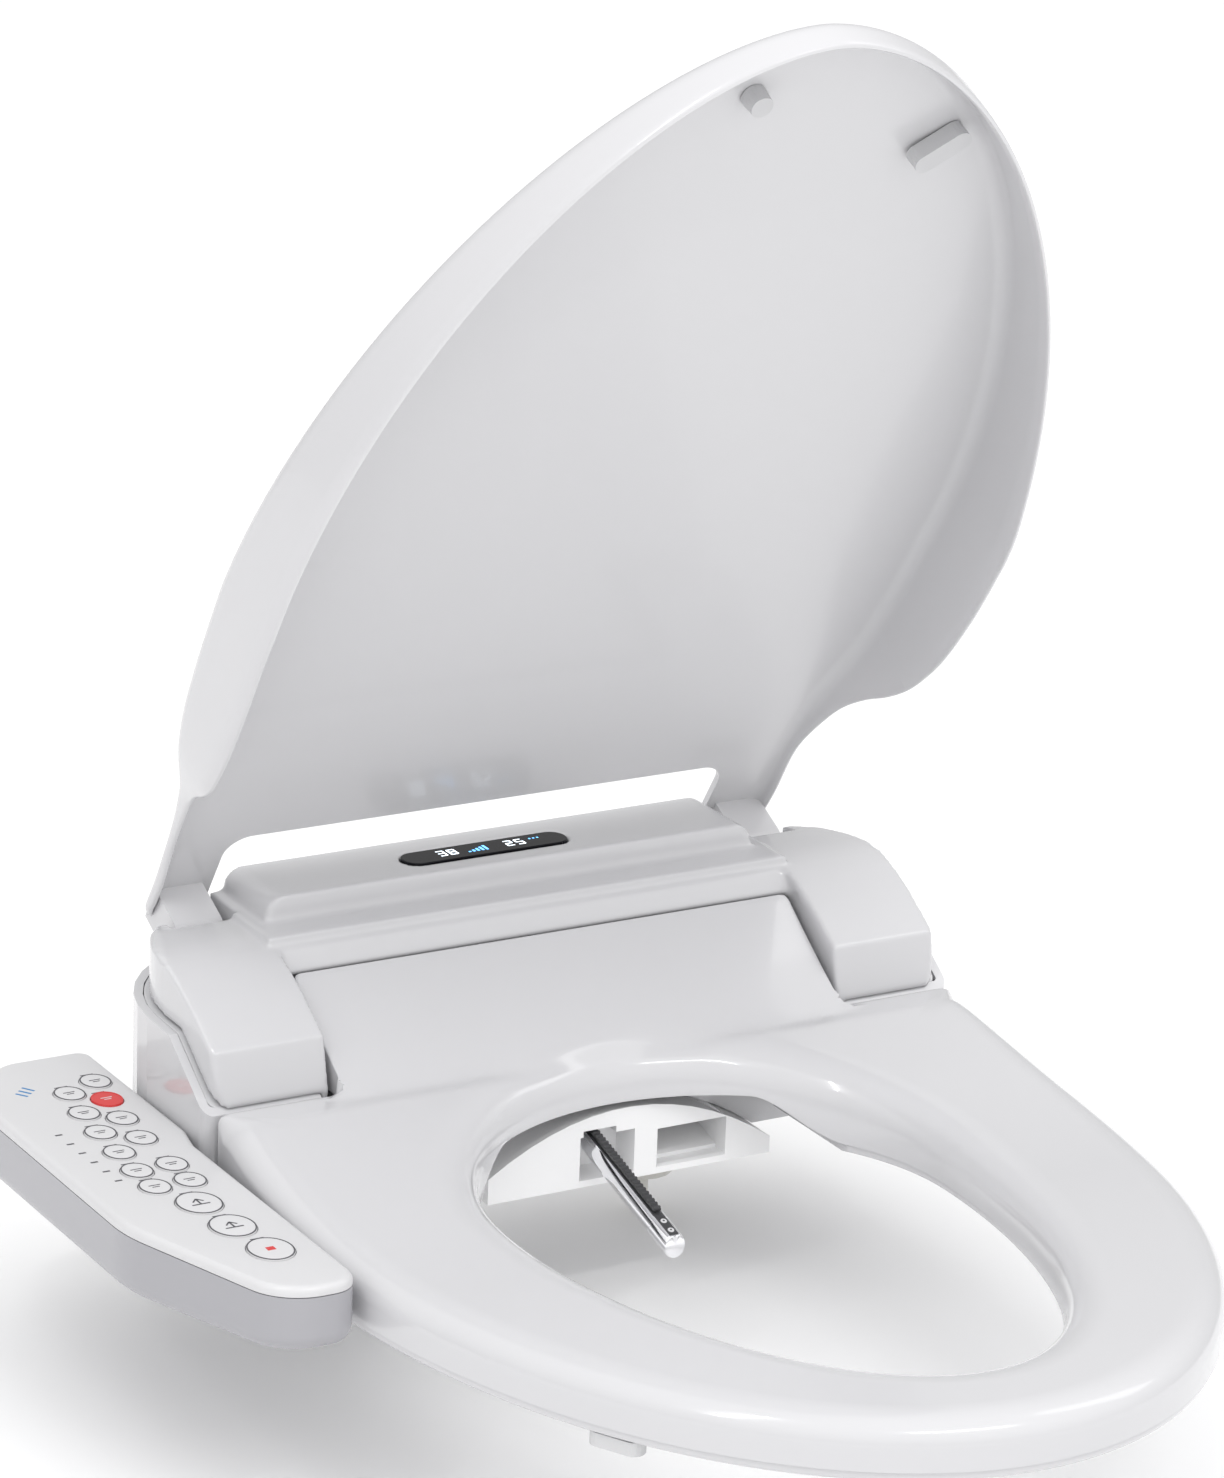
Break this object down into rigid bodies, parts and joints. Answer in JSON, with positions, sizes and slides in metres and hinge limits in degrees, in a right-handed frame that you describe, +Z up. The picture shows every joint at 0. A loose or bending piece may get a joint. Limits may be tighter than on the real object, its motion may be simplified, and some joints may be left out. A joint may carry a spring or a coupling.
{
  "type": "electric bidet seat",
  "caption": "Toilet seat unit that washes and dries, with a heated seat, partly raised lid, rear housing, spray nozzle, dryer outlet and a side panel of press keys.",
  "frame": {"origin": "midway between the two fixing bolts, on the underside of the mounting plate, level with the top of the toilet bowl", "axes": "+Z up, -Y towards the front of the seat, +X to the right of a person facing the seat"},
  "size_m": [0.443, 0.506, 0.5977],
  "materials": {
    "gloss_white": "glossy injection-moulded plastic",
    "lid_white": "glossy injection-moulded plastic, a little greyer",
    "key_white": "satin keys",
    "key_red": "satin red key",
    "chrome": "polished",
    "steel": "plain",
    "brass": "machined",
    "dark_plastic": "matte black",
    "display_black": "smoked, very glossy",
    "grey_rubber": "soft, matte",
    "nylon": "moulded nylon",
    "circuit_board": "solder mask",
    "tank_plastic": "milky"
  },
  "bodies": {
    "housing": {"mounting_plate": "steel", "mounting_bolt_left": "nylon", "mounting_bolt_right": "nylon", "mounting_nut_left": "nylon", "mounting_nut_right": "nylon", "base_tray": "gloss_white", "top_cover": "gloss_white", "display_lens": "display_black", "display_board": "circuit_board", "water_tank": "tank_plastic", "main_board": "circuit_board", "solenoid_valve": "nylon", "water_inlet": "brass", "power_gland": "grey_rubber", "drain_plug": "nylon", "dryer_fan": "dark_plastic", "dryer_duct": "dark_plastic", "nozzle_guide": "gloss_white", "nozzle_motor": "steel", "panel_case": "gloss_white", "panel_top": "gloss_white", "panel_board": "circuit_board", "seat_pin_left": "steel", "seat_pin_right": "steel", "lid_pin_left": "steel", "lid_pin_right": "steel"},
    "lid": {"lid_shell": "lid_white", "lid_bumper_stub": "grey_rubber", "lid_bumper_pad": "grey_rubber"},
    "seat": {"seat_shell": "gloss_white", "seat_base": "gloss_white", "seat_heater": "grey_rubber", "seat_bumper_front_left": "grey_rubber", "seat_bumper_front_right": "grey_rubber", "seat_bumper_rear_left": "grey_rubber", "seat_bumper_rear_right": "grey_rubber"},
    "nozzle": {"nozzle_tube": "chrome", "nozzle_tip": "chrome", "nozzle_rack": "dark_plastic"},
    "pinion": {"nozzle_pinion": "nylon"},
    "release": {"release_button": "gloss_white"},
    "button_power": {"key_power": "key_red"},
    "button_light": {"key_light": "key_white"},
    "button_auto": {"key_auto": "key_white"},
    "button_seat_heat": {"key_seat_heat": "key_white"},
    "button_water_heat": {"key_water_heat": "key_white"},
    "button_dryer": {"key_dryer": "key_white"},
    "button_pressure": {"key_pressure": "key_white"},
    "button_position": {"key_position": "key_white"},
    "button_massage": {"key_massage": "key_white"},
    "button_wide": {"key_wide": "key_white"},
    "button_clean": {"key_clean": "key_white"},
    "button_save": {"key_save": "key_white"},
    "button_wash": {"key_wash": "key_white"},
    "button_bidet": {"key_bidet": "key_white"},
    "button_stop": {"key_stop": "key_white"}
  },
  "joints": [
    {"name": "lid_hinge", "type": "hinge", "parent": "housing", "child": "lid", "pos_m": [0, 0.02, 0.095], "axis": [-1, 0, 0], "range_deg": [-63.5, 41.5]},
    {"name": "seat_hinge", "type": "hinge", "parent": "housing", "child": "seat", "pos_m": [0, -0.058, 0.07], "axis": [-1, 0, 0], "range_deg": [0, 68]},
    {"name": "nozzle_slide", "type": "slide", "parent": "housing", "child": "nozzle", "axis": [0, -0.9636, -0.2672], "range_m": [-0.074, 0]},
    {"name": "nozzle_pinion_turn", "type": "hinge", "parent": "housing", "child": "pinion", "pos_m": [-0.004, -0.0644, 0.03705], "axis": [1, 0, 0], "range_deg": [0, 1012]},
    {"name": "button_power_press", "type": "slide", "parent": "housing", "child": "button_power", "axis": [0, 0, -1], "range_m": [0, 0.0005], "stiffness_N_per_m": 1500, "springref_m": -0.0003},
    {"name": "button_light_press", "type": "slide", "parent": "housing", "child": "button_light", "axis": [0, 0, -1], "range_m": [0, 0.0005], "stiffness_N_per_m": 1500, "springref_m": -0.0003},
    {"name": "button_auto_press", "type": "slide", "parent": "housing", "child": "button_auto", "axis": [0, 0, -1], "range_m": [0, 0.0005], "stiffness_N_per_m": 1500, "springref_m": -0.0003},
    {"name": "button_seat_heat_press", "type": "slide", "parent": "housing", "child": "button_seat_heat", "axis": [0, 0, -1], "range_m": [0, 0.0005], "stiffness_N_per_m": 1500, "springref_m": -0.0003},
    {"name": "button_water_heat_press", "type": "slide", "parent": "housing", "child": "button_water_heat", "axis": [0, 0, -1], "range_m": [0, 0.0005], "stiffness_N_per_m": 1500, "springref_m": -0.0003},
    {"name": "button_dryer_press", "type": "slide", "parent": "housing", "child": "button_dryer", "axis": [0, 0, -1], "range_m": [0, 0.0005], "stiffness_N_per_m": 1500, "springref_m": -0.0003},
    {"name": "button_pressure_press", "type": "slide", "parent": "housing", "child": "button_pressure", "axis": [0, 0, -1], "range_m": [0, 0.0005], "stiffness_N_per_m": 1500, "springref_m": -0.0003},
    {"name": "button_position_press", "type": "slide", "parent": "housing", "child": "button_position", "axis": [0, 0, -1], "range_m": [0, 0.0005], "stiffness_N_per_m": 1500, "springref_m": -0.0003},
    {"name": "button_massage_press", "type": "slide", "parent": "housing", "child": "button_massage", "axis": [0, 0, -1], "range_m": [0, 0.0005], "stiffness_N_per_m": 1500, "springref_m": -0.0003},
    {"name": "button_wide_press", "type": "slide", "parent": "housing", "child": "button_wide", "axis": [0, 0, -1], "range_m": [0, 0.0005], "stiffness_N_per_m": 1500, "springref_m": -0.0003},
    {"name": "button_clean_press", "type": "slide", "parent": "housing", "child": "button_clean", "axis": [0, 0, -1], "range_m": [0, 0.0005], "stiffness_N_per_m": 1500, "springref_m": -0.0003},
    {"name": "button_save_press", "type": "slide", "parent": "housing", "child": "button_save", "axis": [0, 0, -1], "range_m": [0, 0.0005], "stiffness_N_per_m": 1500, "springref_m": -0.0003},
    {"name": "button_wash_press", "type": "slide", "parent": "housing", "child": "button_wash", "axis": [0, 0, -1], "range_m": [0, 0.0005], "stiffness_N_per_m": 1500, "springref_m": -0.0003},
    {"name": "button_bidet_press", "type": "slide", "parent": "housing", "child": "button_bidet", "axis": [0, 0, -1], "range_m": [0, 0.0005], "stiffness_N_per_m": 1500, "springref_m": -0.0003},
    {"name": "button_stop_press", "type": "slide", "parent": "housing", "child": "button_stop", "axis": [0, 0, -1], "range_m": [0, 0.0005], "stiffness_N_per_m": 1500, "springref_m": -0.0003},
    {"name": "release_press", "type": "slide", "parent": "housing", "child": "release", "axis": [-1, 0, 0], "range_m": [0, 0.0025], "stiffness_N_per_m": 600, "springref_m": -0.001}
  ],
  "couplings": [
    {"joint": "nozzle_pinion_turn", "follows": "nozzle_slide", "rad_per_m": -238.1}
  ]
}
